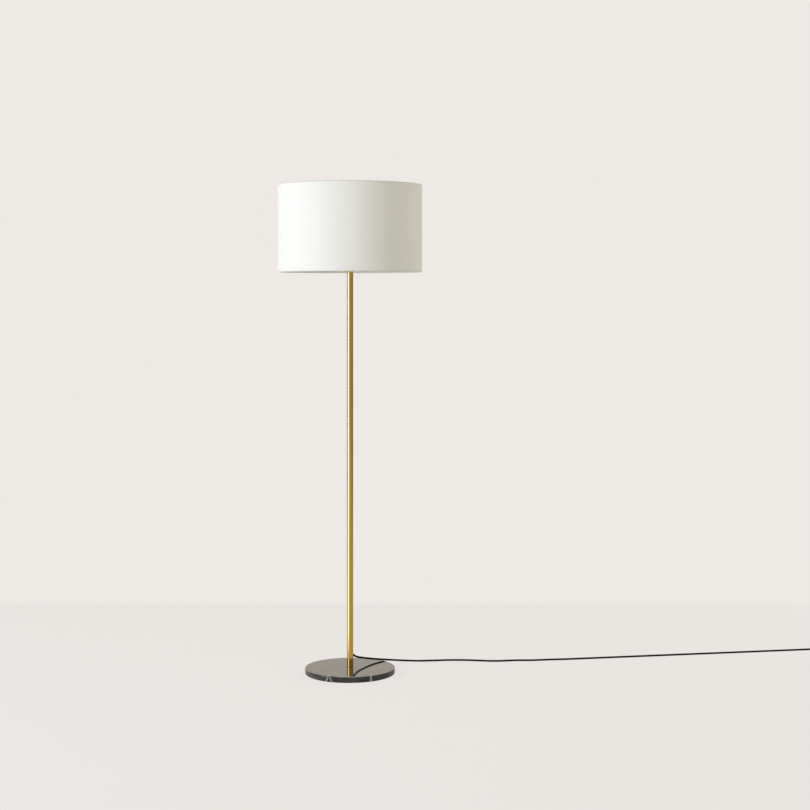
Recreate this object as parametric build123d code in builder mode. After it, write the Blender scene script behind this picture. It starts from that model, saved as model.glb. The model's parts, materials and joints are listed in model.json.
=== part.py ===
from build123d import *
import os
from math import asin, cos, degrees, pi, radians, sin, sqrt, tan

os.makedirs("parts", exist_ok=True)

# A floor lamp with a drum shade. The origin is on the pole's axis at floor level, +Z is up,
# +X is to the right and +Y away from the viewer. Sizes are in millimetres.

# Marble base and the felt pad under it
base_d = 280.0
marble_t = 18.0
marble_arris = 1.4
pad_t = 2.0
pad_inset = 5.0

# Bolt that holds the pole's foot down, with its head in a pocket under the marble
bolt_d = 8.0
bolt_engagement = 14.0
bolt_hole_clearance = 0.5
bolt_head_flats = 13.0
bolt_head_t = 5.3
washer_d = 32.0
washer_t = 2.0
lock_washer_d = 14.0
lock_washer_t = 2.0
lock_washer_split = 2.5
pocket_clearance = 1.0
foot_insert_l = 20.0

# Pole: two tubes on one spigot
pole_d = 20.0
pole_wall = 1.2
lower_tube_l = 609.0
upper_tube_l = 633.0
tube_edge_break = 0.5
coupler_l = 70.0
coupler_bore = 9.0
coupler_lead_in = 1.5
top_insert_l = 16.0
nipple_d = 10.0
nipple_bore = 7.2
nipple_in_insert = 12.0
nipple_above_nut = 1.0
nipple_nut_flats = 14.0
nipple_nut_t = 3.0

# Mains cord and the soft boot that it leaves the pole through
cord_d = 6.0
exit_azimuth = 62.0
exit_rise = 34.4
boot_flange_d = 11.0
boot_flange_t = 1.5
boot_root_d = 9.6
boot_tip_d = 7.4
boot_bend_r = 34.0
boot_drop = 28.0
boot_neck_d = 8.4
boot_hole_clearance = 0.1
boot_barb_d = 9.6
boot_barb_l = 2.0
boot_barb_depth = 3.6
lead_fit = 0.05
lead_bow = 4.4
lead_bend_r = 9.0
lead_return = 260.0
lead_return_r = 400.0
sheath_above_nut = 1.0
core_d = 2.0
core_spacing = 2.8
core_reach = 11.0
core_bend_r = 1.8
core_turn_rise = 3.0
exit_run = 16.0
arc_share = 0.45

# Lampholder: domed cap, threaded skirt, insulating insert and screw shell
cap_foot_d = 20.0
cap_foot_h = 8.0
cap_d = 40.0
cap_h = 36.0
cap_wall = 2.0
set_screw_d = 3.0
set_screw_l = 4.5
skirt_d = 39.6
skirt_h = 38.0
skirt_wall = 2.2
skirt_spigot_h = 4.0
skirt_ledge = 1.6
skirt_ledge_t = 2.0
insert_clearance = 0.1
insert_floor_t = 5.0
insert_floor_rise = 9.0
insert_rim_drop = 2.0
insert_skirt_wall = 2.0
post_size = 7.0
post_offset = 9.0
terminal_head_d = 5.0
terminal_head_t = 1.8
terminal_shank_d = 3.0
terminal_shank_l = 4.0
shell_d = 28.6
shell_wall = 0.6
shell_fit = 0.05
shell_flange_in = 6.0
shell_rim_drop = 2.0
contact_w = 6.0
contact_t = 0.6
contact_rise = 3.0
contact_foot = 4.0
contact_tip = 5.0

# Rotary switch in the cap, turned by a knob on the right
switch_l = 22.0
switch_w = 14.0
switch_h = 12.0
switch_corner_r = 1.0
switch_offset = 3.0
switch_rise = 25.0
bush_d = 7.0
bush_clearance = 0.2
bush_out = 2.0
bush_nut_flats = 10.0
bush_nut_t = 2.0
spot_face_d = 13.0
spot_face_depth = 0.6
spindle_d = 4.0
spindle_clearance = 0.05
spindle_in_switch = 6.0
spindle_in_knob = 9.0
knob_gap = 0.6
knob_d = 15.0
knob_l = 15.0
knob_flutes = 10
knob_flute_d = 2.0
knob_edge_break = 0.8

# Ring nuts that hold the shade's fitter ring on the threaded skirt
ring_nut_d = 56.0
ring_nut_flange_t = 2.2
ring_nut_hub_d = 47.0
ring_nut_h = 7.0
ring_nut_notches = 8
ring_nut_notch_d = 5.0
ring_nut_play = 0.2
fitter_rise = 8.0

# Shade: drum cover bonded to a stiff liner, on a welded wire carrier
shade_d = 450.0
shade_h = 272.0
fabric_t = 0.5
liner_t = 0.6
ring_wire_d = 4.0
ring_gap = 0.1
fitter_recess = 55.0
fitter_bore_clearance = 1.2
fitter_d = 58.0
fitter_t = 2.0
arm_count = 3
arm_azimuth = 30.0
arm_flat = 24.0
arm_foot = 16.0
arm_past_ring = 1.0
arm_bend_r = 30.0
weld_depth = 0.6
seam_azimuth = 90.0
seam_tape_w = 12.0
seam_tape_t = 0.3
seam_tape_end_gap = 10.0

# Frosted bulb
bulb_d = 60.0
bulb_l = 108.0
bulb_tip_d = 9.0
bulb_tip_t = 1.0
bulb_insulator_h = 4.0
bulb_cap_d = 26.2
bulb_cap_h = 22.0
bulb_housing_h = 34.0
bulb_housing_foot_d = 27.5
bulb_globe_wall = 1.5
bulb_foot_bevel = 1.5

# Wound cord: the length put away beyond the straight stretch
coil_x = 1583.0
coil_y = 403.0
coil_outer_r = 36.5
coil_pitch = 6.6
coil_layer_h = 6.6
coil_start_azimuth = -74.0
coil_end_azimuth = -60.0
coil_whole_turns = 3
coil_run_in = 45.0
coil_run_out = 14.0
tie_azimuth = 203.0
tie_w = 9.0
tie_t = 1.0
tie_clearance = 0.8
tie_gap = 0.4
tie_lift_spread = 75.0

# Flat two-pin plug
plug_w = 35.3
plug_t = 13.7
plug_l = 36.0
plug_rear_w = 14.0
plug_waist_w = 25.0
plug_head_l = 12.0
plug_corner_r = 5.0
plug_edge_r = 3.0
pin_spacing = 18.6
pin_d = 4.0
pin_l = 19.0
pin_sleeve_d = 3.6
pin_sleeve_l = 10.0
pin_tip_break = 0.8
relief_l = 26.0
relief_root_d = 11.0
relief_tip_d = 7.6
relief_grooves = 4
relief_groove_w = 1.6
relief_groove_depth = 0.9

# Heights and radii that follow from the sizes above
base_r = base_d / 2
marble_top = pad_t + marble_t
seam_z = marble_top + lower_tube_l
pole_top = seam_z + upper_tube_l
pole_r = pole_d / 2
tube_bore_r = pole_r - pole_wall
cord_r = cord_d / 2
exit_z = marble_top + exit_rise
cap_top = pole_top + cap_h
skirt_top = cap_top + skirt_h
skirt_r = skirt_d / 2
fitter_z = cap_top + fitter_rise
shade_bottom = fitter_z - fitter_recess
shade_top = shade_bottom + shade_h
shade_r = shade_d / 2
liner_outer_r = shade_r - fabric_t
liner_inner_r = liner_outer_r - liner_t
wire_r = ring_wire_d / 2
rim_r = wire_r + fabric_t
ring_r = liner_inner_r - wire_r - ring_gap
bottom_ring_z = shade_bottom + rim_r
top_ring_z = shade_top - rim_r
insert_floor_z = cap_top + insert_floor_rise
bulb_foot_z = insert_floor_z + contact_rise
switch_z = pole_top + switch_rise
switch_face_x = switch_offset + switch_l / 2
cap_face_x = cap_d / 2 - spot_face_depth
bush_end_x = cap_face_x + bush_nut_t + bush_out
knob_start_x = bush_end_x + knob_gap


def save(piece, name):
    piece.part.label = name
    export_step(piece.part, f"parts/{name}.step")


def ring(z, height, outer_d, inner_d):
    """A plain ring that stands on height z."""
    with BuildPart() as piece:
        with BuildSketch(Plane.XY.offset(z)):
            Circle(outer_d / 2)
            Circle(inner_d / 2, mode=Mode.SUBTRACT)
        extrude(amount=height)
    return piece


def heading(azimuth):
    """Level direction at an angle from +X, in degrees towards +Y."""
    return Vector(cos(radians(azimuth)), sin(radians(azimuth)), 0)


def upright_plane(azimuth):
    """Plane through the pole's axis, with x along the azimuth and y up."""
    return Plane(origin=(0, 0, 0), x_dir=heading(azimuth), z_dir=heading(azimuth - 90))


def turned(*outline):
    """A piece turned about the pole's axis from (radius, height) corners."""
    with BuildPart() as piece:
        with BuildSketch(Plane.XZ):
            with BuildLine():
                Polyline(*outline, close=True)
            make_face()
        revolve(axis=Axis.Z)
    return piece


# Felt pad and marble disc
with BuildPart() as floor_pad:
    with BuildSketch():
        Circle(base_r - pad_inset)
    extrude(amount=pad_t)
save(floor_pad, "floor_pad")

pocket_depth = washer_t + lock_washer_t + bolt_head_t + pocket_clearance
pocket_top = pad_t + pocket_depth
with BuildPart() as marble_base:
    with BuildSketch(Plane.XY.offset(pad_t)):
        Circle(base_r)
    extrude(amount=marble_t)
    chamfer(marble_base.edges().filter_by(GeomType.CIRCLE), length=marble_arris)
    with Locations(Location((0, 0, pad_t), (180, 0, 0))):
        CounterBoreHole(
            radius=bolt_d / 2 + bolt_hole_clearance,
            counter_bore_radius=washer_d / 2 + pocket_clearance,
            counter_bore_depth=pocket_depth,
        )
save(marble_base, "marble_base")

# Clamp bolt with its washers, and the plug in the pole's foot that it screws into
washer_z = pocket_top - washer_t
lock_washer_z = washer_z - lock_washer_t
bolt_head_z = lock_washer_z - bolt_head_t
base_washer = ring(washer_z, washer_t, washer_d, bolt_d + 2 * bolt_hole_clearance)
save(base_washer, "base_washer")

with BuildPart() as lock_washer:
    with BuildSketch(Plane.XY.offset(lock_washer_z)):
        Circle(lock_washer_d / 2)
        Circle(bolt_d / 2 + bolt_hole_clearance / 2, mode=Mode.SUBTRACT)
        with Locations((lock_washer_d / 2, 0)):
            Rectangle(lock_washer_d, lock_washer_split, mode=Mode.SUBTRACT)
    extrude(amount=lock_washer_t)
save(lock_washer, "lock_washer")

with BuildPart() as base_bolt:
    with BuildSketch(Plane.XY.offset(bolt_head_z)):
        RegularPolygon(bolt_head_flats / 2, 6, major_radius=False)
    extrude(amount=bolt_head_t)
    with BuildSketch(Plane.XY.offset(lock_washer_z)):
        Circle(bolt_d / 2)
    extrude(amount=marble_top + bolt_engagement - lock_washer_z)
save(base_bolt, "base_bolt")

foot_insert = ring(marble_top, foot_insert_l, 2 * tube_bore_r, bolt_d)
save(foot_insert, "foot_insert")

# The cord's way out: lead_plane is the upright plane through the pole's axis and the exit,
# with x outwards and y up, and exit_plane looks out along the exit at its height
outwards = heading(exit_azimuth)
lead_plane = upright_plane(exit_azimuth)
exit_plane = Plane(origin=(0, 0, exit_z), x_dir=(0, 0, 1), z_dir=outwards)


def pole_tube(z, length):
    with BuildPart() as tube:
        with BuildSketch(Plane.XY.offset(z)):
            Circle(pole_r)
            Circle(tube_bore_r, mode=Mode.SUBTRACT)
        extrude(amount=length)
        rims = tube.edges().filter_by(GeomType.CIRCLE).sort_by(SortBy.RADIUS)[-2:]
        chamfer(rims, length=tube_edge_break)
    return tube


# Pole tubes, with the spigot that joins them at the seam
with BuildPart() as lower_tube:
    add(pole_tube(marble_top, lower_tube_l).part)
    with BuildSketch(exit_plane):
        Circle(boot_neck_d / 2 + boot_hole_clearance)
    extrude(amount=pole_d, mode=Mode.SUBTRACT)
save(lower_tube, "lower_tube")

upper_tube = pole_tube(seam_z, upper_tube_l)
save(upper_tube, "upper_tube")

with BuildPart() as pole_coupler:
    with BuildSketch(Plane.XY.offset(seam_z - coupler_l / 2)):
        Circle(tube_bore_r)
        Circle(coupler_bore / 2, mode=Mode.SUBTRACT)
    extrude(amount=coupler_l)
    coupler_rims = pole_coupler.edges().filter_by(GeomType.CIRCLE).sort_by(SortBy.RADIUS)[-2:]
    chamfer(coupler_rims, length=coupler_lead_in)
save(pole_coupler, "pole_coupler")

# Boot: saddle flange on the tube, neck through the wall, barb inside, curved tapering tail
boot_root_s = pole_r + boot_flange_t
with BuildLine(lead_plane) as boot_path:
    JernArc((boot_root_s, exit_z), (1, 0), boot_bend_r, -boot_drop)
boot_tip = boot_path.line @ 1
boot_heading = boot_path.line % 1

with BuildPart() as boot_bore:
    with BuildSketch(exit_plane):
        Circle(cord_r + lead_fit)
    extrude(amount=boot_root_s)
    with BuildSketch(Plane(boot_path.line @ 0, x_dir=lead_plane.z_dir, z_dir=outwards)):
        Circle(cord_r + lead_fit)
    sweep(path=boot_path.line)

with BuildPart() as cord_boot:
    with BuildSketch(exit_plane):
        Circle(boot_flange_d / 2)
    extrude(amount=boot_root_s)
    Cylinder(pole_r, 2 * (exit_z + boot_flange_d), mode=Mode.SUBTRACT)
    for share in (0, 0.5, 1):
        station = boot_path.line @ share
        with BuildSketch(Plane(station, x_dir=lead_plane.z_dir, z_dir=boot_path.line % share)):
            Circle((boot_root_d + (boot_tip_d - boot_root_d) * share) / 2)
    loft()
    with BuildSketch(exit_plane.offset(pole_r - boot_barb_depth)):
        Circle(boot_neck_d / 2)
    extrude(amount=boot_barb_depth)
    with BuildSketch(exit_plane.offset(pole_r - boot_barb_depth - boot_barb_l)):
        Circle(boot_barb_d / 2)
    extrude(amount=boot_barb_l)
    add(boot_bore.part, mode=Mode.SUBTRACT)
save(cord_boot, "cord_boot")

# Plug in the pole's top, hollow nipple and its nut
nipple_nut_z = pole_top + cap_foot_h + cap_wall
lead_top = nipple_nut_z + nipple_nut_t + nipple_above_nut + sheath_above_nut
top_insert = ring(pole_top - top_insert_l, top_insert_l, 2 * tube_bore_r, nipple_d)
save(top_insert, "top_insert")
nipple_foot = pole_top - nipple_in_insert
nipple_l = nipple_nut_z + nipple_nut_t + nipple_above_nut - nipple_foot
pole_nipple = ring(nipple_foot, nipple_l, nipple_d, nipple_bore)
save(pole_nipple, "pole_nipple")

with BuildPart() as nipple_nut:
    with BuildSketch(Plane.XY.offset(nipple_nut_z)):
        RegularPolygon(nipple_nut_flats / 2, 6, major_radius=False)
        Circle(nipple_d / 2, mode=Mode.SUBTRACT)
    extrude(amount=nipple_nut_t)
save(nipple_nut, "nipple_nut")

# Sheathed lead inside the boot and the pole
with BuildPart() as inner_lead:
    with BuildLine(lead_plane) as lead_path:
        FilletPolyline(
            (boot_root_s, exit_z),
            (-lead_bow, exit_z),
            (0, exit_z + lead_return),
            (0, lead_top),
            radius=[lead_bend_r, lead_return_r],
        )
        JernArc((boot_root_s, exit_z), (1, 0), boot_bend_r, -boot_drop)
    with BuildSketch(Plane.XY.offset(lead_top)):
        Circle(cord_r)
    sweep(path=Wire(lead_path.line.edges()))
save(inner_lead, "inner_lead")

# Lampholder cap: a foot on the tube's top, a quarter-round shoulder and a straight wall
cap_foot_r = cap_foot_d / 2
cap_r = cap_d / 2
shoulder_z = pole_top + cap_foot_h + cap_r - cap_foot_r
with BuildPart() as holder_cap:
    with BuildSketch(Plane.XZ):
        with BuildLine():
            outer = Polyline(
                (nipple_d / 2, pole_top), (cap_foot_r, pole_top), (cap_foot_r, pole_top + cap_foot_h)
            )
            shoulder = CenterArc((cap_foot_r, shoulder_z), cap_r - cap_foot_r, -90, 90)
            wall = Polyline(
                shoulder @ 1, (cap_r, cap_top), (cap_r - cap_wall, cap_top), (cap_r - cap_wall, shoulder_z)
            )
            hollow = CenterArc((cap_foot_r, shoulder_z), cap_r - cap_wall - cap_foot_r, -90, 90)
            Polyline(hollow @ 0, (nipple_d / 2, nipple_nut_z), outer @ 0)
        make_face()
    revolve(axis=Axis.Z)
    with BuildSketch(Plane.YZ.offset(cap_face_x)):
        with Locations((0, switch_z)):
            Circle(spot_face_d / 2)
    extrude(amount=cap_r, mode=Mode.SUBTRACT)
    with BuildSketch(Plane.YZ):
        with Locations((0, switch_z)):
            Circle(bush_d / 2 + bush_clearance)
    extrude(amount=cap_d, mode=Mode.SUBTRACT)
    with BuildSketch(Plane.XZ):
        with Locations((0, pole_top + cap_foot_h / 2)):
            Circle(set_screw_d / 2)
    extrude(amount=cap_d, mode=Mode.SUBTRACT)
save(holder_cap, "holder_cap")

with BuildPart() as cap_set_screw:
    with BuildSketch(Plane.XZ.offset(nipple_d / 2)):
        with Locations((0, pole_top + cap_foot_h / 2)):
            Circle(set_screw_d / 2)
    extrude(amount=set_screw_l)
save(cap_set_screw, "cap_set_screw")

# Threaded skirt, its spigot inside the cap and the ledge that carries the insert
skirt_bore_r = skirt_r - skirt_wall
spigot_foot = cap_top - skirt_spigot_h
holder_body = turned(
    (skirt_bore_r - skirt_ledge, spigot_foot),
    (cap_r - cap_wall, spigot_foot),
    (cap_r - cap_wall, cap_top),
    (skirt_r, cap_top),
    (skirt_r, skirt_top),
    (skirt_bore_r, skirt_top),
    (skirt_bore_r, spigot_foot + skirt_ledge_t),
    (skirt_bore_r - skirt_ledge, spigot_foot + skirt_ledge_t),
)
save(holder_body, "holder_body")

# Insulating insert: a cup for the screw shell over a cavity with two terminal posts
insert_r = skirt_bore_r - insert_clearance
insert_foot = spigot_foot + skirt_ledge_t
insert_rim = skirt_top - insert_rim_drop
shell_r = shell_d / 2
cup_floor_foot = insert_floor_z - insert_floor_t
with BuildPart() as holder_insert:
    add(
        turned(
            (insert_r, insert_foot),
            (insert_r, insert_rim),
            (shell_r + shell_fit, insert_rim),
            (shell_r + shell_fit, insert_floor_z),
            (0, insert_floor_z),
            (0, cup_floor_foot),
            (insert_r - insert_skirt_wall, cup_floor_foot),
            (insert_r - insert_skirt_wall, insert_foot),
        ).part
    )
    with BuildSketch(Plane.XY.offset(insert_foot)):
        with Locations((post_offset, 0), (-post_offset, 0)):
            Rectangle(post_size, post_size)
    extrude(amount=cup_floor_foot - insert_foot)
    with BuildSketch(Plane.XY.offset(insert_foot)):
        with Locations((post_offset, 0), (-post_offset, 0)):
            Circle(terminal_shank_d / 2)
    extrude(amount=terminal_shank_l, mode=Mode.SUBTRACT)
save(holder_insert, "holder_insert")

with BuildPart() as terminal_screws:
    with BuildSketch(Plane.XY.offset(insert_foot - terminal_head_t)):
        with Locations((post_offset, 0), (-post_offset, 0)):
            Circle(terminal_head_d / 2)
    extrude(amount=terminal_head_t)
    with BuildSketch(Plane.XY.offset(insert_foot)):
        with Locations((post_offset, 0), (-post_offset, 0)):
            Circle(terminal_shank_d / 2)
    extrude(amount=terminal_shank_l)
save(terminal_screws, "terminal_screws")

screw_shell = turned(
    (shell_r - shell_flange_in, insert_floor_z),
    (shell_r, insert_floor_z),
    (shell_r, insert_rim - shell_rim_drop),
    (shell_r - shell_wall, insert_rim - shell_rim_drop),
    (shell_r - shell_wall, insert_floor_z + shell_wall),
    (shell_r - shell_flange_in, insert_floor_z + shell_wall),
)
save(screw_shell, "screw_shell")

# Centre contact: a strip that lies on the cup's floor and steps up to the bulb's tip
with BuildPart() as centre_contact:
    with BuildSketch(Plane.XZ):
        with BuildLine():
            Polyline(
                (-contact_tip / 2 - contact_foot, insert_floor_z),
                (-contact_tip / 2, insert_floor_z),
                (-contact_tip / 2 + contact_t, bulb_foot_z - contact_t),
                (contact_tip / 2, bulb_foot_z - contact_t),
                (contact_tip / 2, bulb_foot_z),
                (-contact_tip / 2, bulb_foot_z),
                (-contact_tip / 2 - contact_t, insert_floor_z + contact_t),
                (-contact_tip / 2 - contact_foot, insert_floor_z + contact_t),
                close=True,
            )
        make_face()
    extrude(amount=contact_w / 2, both=True)
save(centre_contact, "centre_contact")

# Bared cores from the sheath's end, round the switch, to the terminal posts
core_z = (insert_foot + cup_floor_foot) / 2
with BuildPart() as core_wires:
    for side in (1, -1):
        with BuildLine() as core_path:
            FilletPolyline(
                (0, side * core_spacing / 2, lead_top),
                (0, side * core_spacing / 2, lead_top + core_turn_rise),
                (side * post_offset, side * core_reach, lead_top + core_turn_rise),
                (side * post_offset, side * core_reach, core_z),
                (side * post_offset, side * post_size / 2, core_z),
                radius=core_bend_r,
            )
        with BuildSketch(Plane.XY.offset(lead_top)):
            with Locations((0, side * core_spacing / 2)):
                Circle(core_d / 2)
        sweep(path=core_path.line)
save(core_wires, "core_wires")

# Rotary switch: body in the cap, threaded bush through its wall, nut on the spot face
with BuildPart() as switch_body:
    with Locations((switch_offset, 0, switch_z)):
        Box(switch_l, switch_w, switch_h)
    fillet(switch_body.edges().filter_by(Axis.Z), radius=switch_corner_r)
    with BuildSketch(Plane.YZ.offset(switch_face_x)):
        with Locations((0, switch_z)):
            Circle(spindle_d / 2 + spindle_clearance)
    extrude(amount=-spindle_in_switch, mode=Mode.SUBTRACT)
save(switch_body, "switch_body")

with BuildPart() as switch_bush:
    with BuildSketch(Plane.YZ.offset(switch_face_x)):
        with Locations((0, switch_z)):
            Circle(bush_d / 2)
            Circle(spindle_d / 2 + spindle_clearance, mode=Mode.SUBTRACT)
    extrude(amount=bush_end_x - switch_face_x)
save(switch_bush, "switch_bush")

with BuildPart() as bush_nut:
    with BuildSketch(Plane.YZ.offset(cap_face_x)):
        with Locations((0, switch_z)):
            RegularPolygon(bush_nut_flats / 2, 6, major_radius=False)
            Circle(bush_d / 2, mode=Mode.SUBTRACT)
    extrude(amount=bush_nut_t)
save(bush_nut, "bush_nut")

with BuildPart() as switch_spindle:
    with BuildSketch(Plane.YZ.offset(switch_face_x - spindle_in_switch)):
        with Locations((0, switch_z)):
            Circle(spindle_d / 2)
    extrude(amount=knob_start_x + spindle_in_knob - switch_face_x + spindle_in_switch)
save(switch_spindle, "switch_spindle")

with BuildPart() as switch_knob:
    with BuildSketch(Plane.YZ.offset(knob_start_x)):
        with Locations((0, switch_z)):
            Circle(knob_d / 2)
    extrude(amount=knob_l)
    chamfer(switch_knob.faces().sort_by(Axis.X)[-1].edges(), length=knob_edge_break)
    with BuildSketch(Plane.YZ.offset(knob_start_x)):
        with Locations((0, switch_z)):
            with PolarLocations(knob_d / 2, knob_flutes):
                Circle(knob_flute_d / 2)
    extrude(amount=knob_l, mode=Mode.SUBTRACT)
    with BuildSketch(Plane.YZ.offset(knob_start_x)):
        with Locations((0, switch_z)):
            Circle(spindle_d / 2)
    extrude(amount=spindle_in_knob, mode=Mode.SUBTRACT)
save(switch_knob, "switch_knob")


def ring_nut(z, flange_on_top):
    """Nut on the threaded skirt: a flange with grip notches, and a narrower hub."""
    flange_z = z + ring_nut_h - ring_nut_flange_t if flange_on_top else z
    with BuildPart() as nut:
        with BuildSketch(Plane.XY.offset(flange_z)):
            Circle(ring_nut_d / 2)
            with PolarLocations(ring_nut_d / 2, ring_nut_notches):
                Circle(ring_nut_notch_d / 2, mode=Mode.SUBTRACT)
        extrude(amount=ring_nut_flange_t)
        with BuildSketch(Plane.XY.offset(z)):
            Circle(ring_nut_hub_d / 2)
        extrude(amount=ring_nut_h)
        with BuildSketch(Plane.XY.offset(z)):
            Circle(skirt_r)
        extrude(amount=ring_nut_h, mode=Mode.SUBTRACT)
    return nut


lower_ring_nut = ring_nut(fitter_z - ring_nut_h, flange_on_top=True)
save(lower_ring_nut, "lower_ring_nut")
upper_ring_nut = ring_nut(fitter_z + fitter_t + ring_nut_play, flange_on_top=False)
save(upper_ring_nut, "upper_ring_nut")

# Wire carrier: fitter ring, three bent arms, and the rings that the cover's rims roll round
fitter_ring = ring(fitter_z, fitter_t, fitter_d, skirt_d + 2 * fitter_bore_clearance)
save(fitter_ring, "fitter_ring")


def wire_ring(z):
    with BuildPart() as piece:
        with BuildSketch(Plane.XZ):
            with Locations((ring_r, z)):
                Circle(wire_r)
        revolve(axis=Axis.Z)
    return piece


bottom_ring = wire_ring(bottom_ring_z)
save(bottom_ring, "bottom_ring")
top_ring = wire_ring(top_ring_z)
save(top_ring, "top_ring")

# The arms' feet lie level on the bottom ring, above the cover's rolled rim
arm_root_z = fitter_z + fitter_t / 2
arm_foot_z = bottom_ring_z + ring_wire_d - weld_depth
with BuildPart() as one_arm:
    with BuildLine(Plane.XZ) as arm_path:
        FilletPolyline(
            (fitter_d / 2 - weld_depth, arm_root_z),
            (fitter_d / 2 + arm_flat, arm_root_z),
            (ring_r - arm_foot, arm_foot_z),
            (ring_r + arm_past_ring, arm_foot_z),
            radius=arm_bend_r,
        )
    with BuildSketch(Plane(arm_path.line @ 0, z_dir=(1, 0, 0))):
        Circle(wire_r)
    sweep(path=arm_path.line)
    add(bottom_ring.part, mode=Mode.SUBTRACT)

with BuildPart() as carrier_arms:
    with PolarLocations(0, arm_count, start_angle=arm_azimuth):
        add(one_arm.part)
    add(fitter_ring.part, mode=Mode.SUBTRACT)
save(carrier_arms, "carrier_arms")

# Stiff liner, the cover that rolls round both rings, and the tape over the liner's seam
shade_liner = ring(bottom_ring_z, top_ring_z - bottom_ring_z, 2 * liner_outer_r, 2 * liner_inner_r)
save(shade_liner, "shade_liner")


def rolled_rim(z, up):
    """Section of the cover's rim, rolled over the wire ring at height z to its inner side."""
    with BuildSketch() as rim:
        with Locations((ring_r, z), (shade_r - rim_r, z)):
            Circle(rim_r)
        with Locations(((ring_r + shade_r - rim_r) / 2, z)):
            Rectangle(shade_r - rim_r - ring_r, 2 * rim_r)
        with Locations((ring_r, z)):
            Circle(wire_r, mode=Mode.SUBTRACT)
        with Locations(((ring_r - rim_r + shade_r) / 2, z - up * rim_r / 2)):
            Rectangle(shade_r - ring_r + rim_r, rim_r, mode=Mode.SUBTRACT)
    return rim


top_rim = rolled_rim(top_ring_z, up=1)
bottom_rim = rolled_rim(bottom_ring_z, up=-1)
with BuildPart() as shade_fabric:
    with BuildSketch(Plane.XZ):
        with Locations((shade_r - fabric_t / 2, (bottom_ring_z + top_ring_z) / 2)):
            Rectangle(fabric_t, top_ring_z - bottom_ring_z)
        add(top_rim.sketch)
        add(bottom_rim.sketch)
    revolve(axis=Axis.Z)
save(shade_fabric, "shade_fabric")

tape_angle = degrees(seam_tape_w / liner_inner_r)
with BuildPart() as seam_tape:
    with BuildSketch(upright_plane(seam_azimuth - tape_angle / 2)):
        with Locations((liner_inner_r - seam_tape_t / 2, (shade_bottom + shade_top) / 2)):
            Rectangle(seam_tape_t, shade_h - 2 * seam_tape_end_gap)
    revolve(axis=Axis.Z, revolution_arc=tape_angle)
save(seam_tape, "seam_tape")

# Frosted bulb, from the tip contact upwards
bulb_cap_r = bulb_cap_d / 2
bulb_tip_r = bulb_tip_d / 2
bulb_r = bulb_d / 2
insulator_z = bulb_foot_z + bulb_tip_t
bulb_cap_z = insulator_z + bulb_insulator_h
housing_z = bulb_cap_z + bulb_cap_h
housing_top = housing_z + bulb_housing_h
globe_z = bulb_foot_z + bulb_l - bulb_r
neck_depth = globe_z - housing_top
neck_r = sqrt(bulb_r**2 - neck_depth**2)

bulb_tip = turned(
    (0, bulb_foot_z), (bulb_tip_r, bulb_foot_z), (bulb_tip_r, insulator_z), (0, insulator_z)
)
save(bulb_tip, "bulb_tip")
bulb_insulator = turned(
    (0, insulator_z),
    (bulb_tip_r, insulator_z),
    (bulb_cap_r - bulb_foot_bevel, bulb_cap_z),
    (0, bulb_cap_z),
)
save(bulb_insulator, "bulb_insulator")
bulb_screw_cap = turned(
    (0, bulb_cap_z),
    (bulb_cap_r - bulb_foot_bevel, bulb_cap_z),
    (bulb_cap_r, bulb_cap_z + bulb_foot_bevel),
    (bulb_cap_r, housing_z),
    (0, housing_z),
)
save(bulb_screw_cap, "bulb_screw_cap")

with BuildPart() as bulb_housing:
    with BuildSketch(Plane.XZ):
        with BuildLine():
            flank = TangentArc(
                (neck_r, housing_top),
                (bulb_housing_foot_d / 2, housing_z),
                tangent=(-neck_depth, -neck_r),
            )
            Polyline(flank @ 1, (0, housing_z), (0, housing_top), flank @ 0)
        make_face()
    revolve(axis=Axis.Z)
save(bulb_housing, "bulb_housing")

with BuildPart() as bulb_globe:
    with BuildSketch(Plane.XZ):
        with BuildLine():
            inner_r = bulb_r - bulb_globe_wall
            outer_dip = degrees(asin(neck_depth / bulb_r))
            inner_dip = degrees(asin(neck_depth / inner_r))
            outside = CenterArc((0, globe_z), bulb_r, -outer_dip, 90 + outer_dip)
            inside = CenterArc((0, globe_z), inner_r, -inner_dip, 90 + inner_dip)
            Line(outside @ 0, inside @ 0)
            Line(outside @ 1, inside @ 1)
        make_face()
    revolve(axis=Axis.Z)
save(bulb_globe, "bulb_globe")


def corner_radii(points):
    """Radius of each corner's arc: as large as the shorter of its two runs allows."""
    radii = []
    for before, corner, after in zip(points, points[1:], points[2:]):
        half_turn = radians((corner - before).get_angle(after - corner)) / 2
        shorter = min((corner - before).length, (after - corner).length)
        radii.append(arc_share * shorter / tan(half_turn))
    return radii


def cord_tube(points, name):
    """Round cord along straight runs joined by tangent arcs."""
    radii = corner_radii(points)
    with BuildPart() as tube:
        with BuildLine() as path:
            FilletPolyline(points, radius=radii)
        with BuildSketch(Plane(points[0], z_dir=points[1] - points[0])):
            Circle(cord_r)
        sweep(path=path.line)
    length = path.wire().length
    section = pi * cord_r**2 * length
    print(name, "arc radii", [round(radius) for radius in radii])
    print(name, "length", round(length), "volume share", round(tube.part.volume / section, 4))
    return tube, length


# Coil: piled loops that spiral in on the floor, climb a layer, and spiral out again
coil_centre = Vector(coil_x, coil_y, cord_r)
coil_turn = 360 * coil_whole_turns + coil_end_azimuth - coil_start_azimuth
heading_step = 1.0


def tie_lift(azimuth):
    """How far the loops rise to lie on the tie that passes under them."""
    away = abs((azimuth - tie_azimuth + 180) % 360 - 180)
    rise = cos(radians(90 * away / tie_lift_spread)) ** 2 if away < tie_lift_spread else 0
    return (tie_t + tie_gap) * rise


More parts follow.
